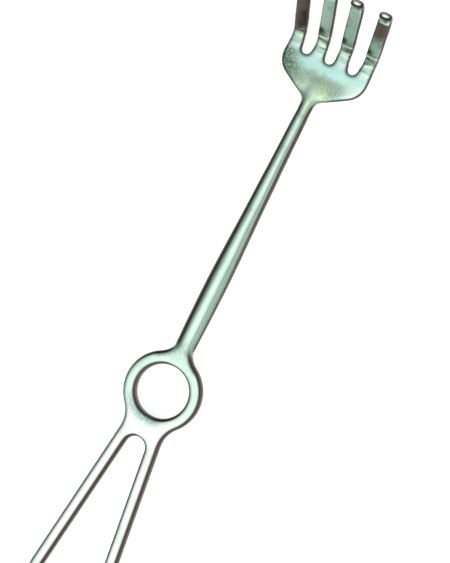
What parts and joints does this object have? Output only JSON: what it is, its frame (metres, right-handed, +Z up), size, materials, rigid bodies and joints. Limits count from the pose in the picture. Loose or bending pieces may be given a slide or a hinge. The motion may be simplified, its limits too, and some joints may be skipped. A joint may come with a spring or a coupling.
{
  "type": "handheld surgical retractor",
  "caption": "Forged steel rake retractor: open loop grip, finger ring, swelling round shank and a flat blade whose prongs bend up and end in blunt hooks.",
  "frame": {"origin": "centre of the finger ring, on the middle plane of the flat handle", "axes": "+X along the shank from the grip towards the prongs, +Y to the left, +Z up, the way that the prongs rise from the blade"},
  "size_m": [0.2175, 0.0314, 0.0242],
  "materials": {
    "steel": "satin-polished stainless steel, lightly tarnished"
  },
  "bodies": {
    "root": {"retractor": "steel"}
  },
  "joints": []
}
